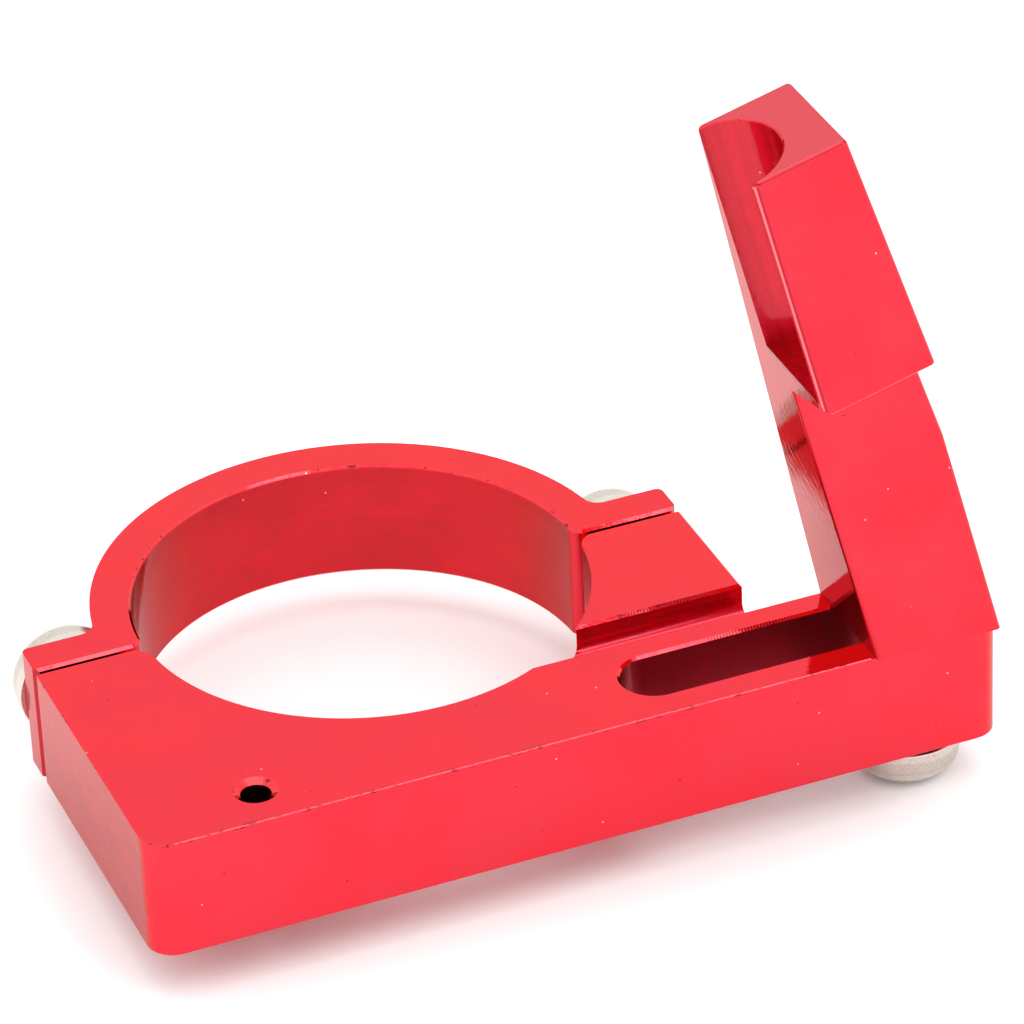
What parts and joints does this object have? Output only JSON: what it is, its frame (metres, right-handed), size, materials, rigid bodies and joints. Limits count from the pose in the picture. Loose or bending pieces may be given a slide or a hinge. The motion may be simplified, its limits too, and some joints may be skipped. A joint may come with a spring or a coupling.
{
  "type": "tube clamp bracket with a slotted finger and hook arm",
  "caption": "Split tube clamp bracket in red anodised aluminium with a slotted finger and a leaning hook arm that slides and swivels along it.",
  "frame": {"origin": "centre of the clamp bore at the base block's underside", "axes": "+Z along the bore axis, up through the block; +X along the slotted finger; +Y from the block to the clamp cap"},
  "size_m": [0.0975, 0.0756, 0.0883],
  "materials": {
    "red_anodised_block": "satin anodised, fine milling marks",
    "red_anodised_cap": "satin anodised, turned bore",
    "red_anodised_arm": "satin anodised, glossy at a low angle",
    "stainless_screw": "satin",
    "stainless_washer": "satin"
  },
  "bodies": {
    "base": {"base_block": "red_anodised_block"},
    "cap": {"clamp_cap": "red_anodised_cap", "clamp_washer_left": "stainless_washer", "clamp_washer_right": "stainless_washer"},
    "cap_screw_left": {"clamp_screw_left": "stainless_screw"},
    "cap_screw_right": {"clamp_screw_right": "stainless_screw"},
    "arm_carriage": {"arm_washer": "stainless_washer"},
    "arm": {"hook_arm": "red_anodised_arm"},
    "arm_screw_body": {"arm_screw": "stainless_screw"}
  },
  "joints": [
    {"name": "cap_slide", "type": "slide", "parent": "base", "child": "cap", "axis": [0, 1, 0], "range_m": [0, 0.008]},
    {"name": "cap_screw_left_turn", "type": "hinge", "parent": "cap", "child": "cap_screw_left", "pos_m": [-0.0319, 0.0045, 0.0076], "axis": [0, 1, 0], "range_deg": [0, 2900]},
    {"name": "cap_screw_right_turn", "type": "hinge", "parent": "cap", "child": "cap_screw_right", "pos_m": [0.0316, 0.0045, 0.0076], "axis": [0, 1, 0], "range_deg": [0, 2900]},
    {"name": "arm_slide", "type": "slide", "parent": "base", "child": "arm_carriage", "axis": [1, 0, 0], "range_m": [-0.029, 0.0015]},
    {"name": "arm_swivel", "type": "hinge", "parent": "arm_carriage", "child": "arm", "pos_m": [0.0512, -0.0292, 0.014], "axis": [0, 0, 1], "continuous": true},
    {"name": "arm_screw_turn", "type": "hinge", "parent": "arm", "child": "arm_screw_body", "pos_m": [0.0512, -0.0292, 0], "axis": [0, 0, 1], "continuous": true}
  ],
  "couplings": [
    {"joint": "cap_screw_left_turn", "follows": "cap_slide", "rad_per_m": 6283.2},
    {"joint": "cap_screw_right_turn", "follows": "cap_slide", "rad_per_m": 6283.2}
  ]
}
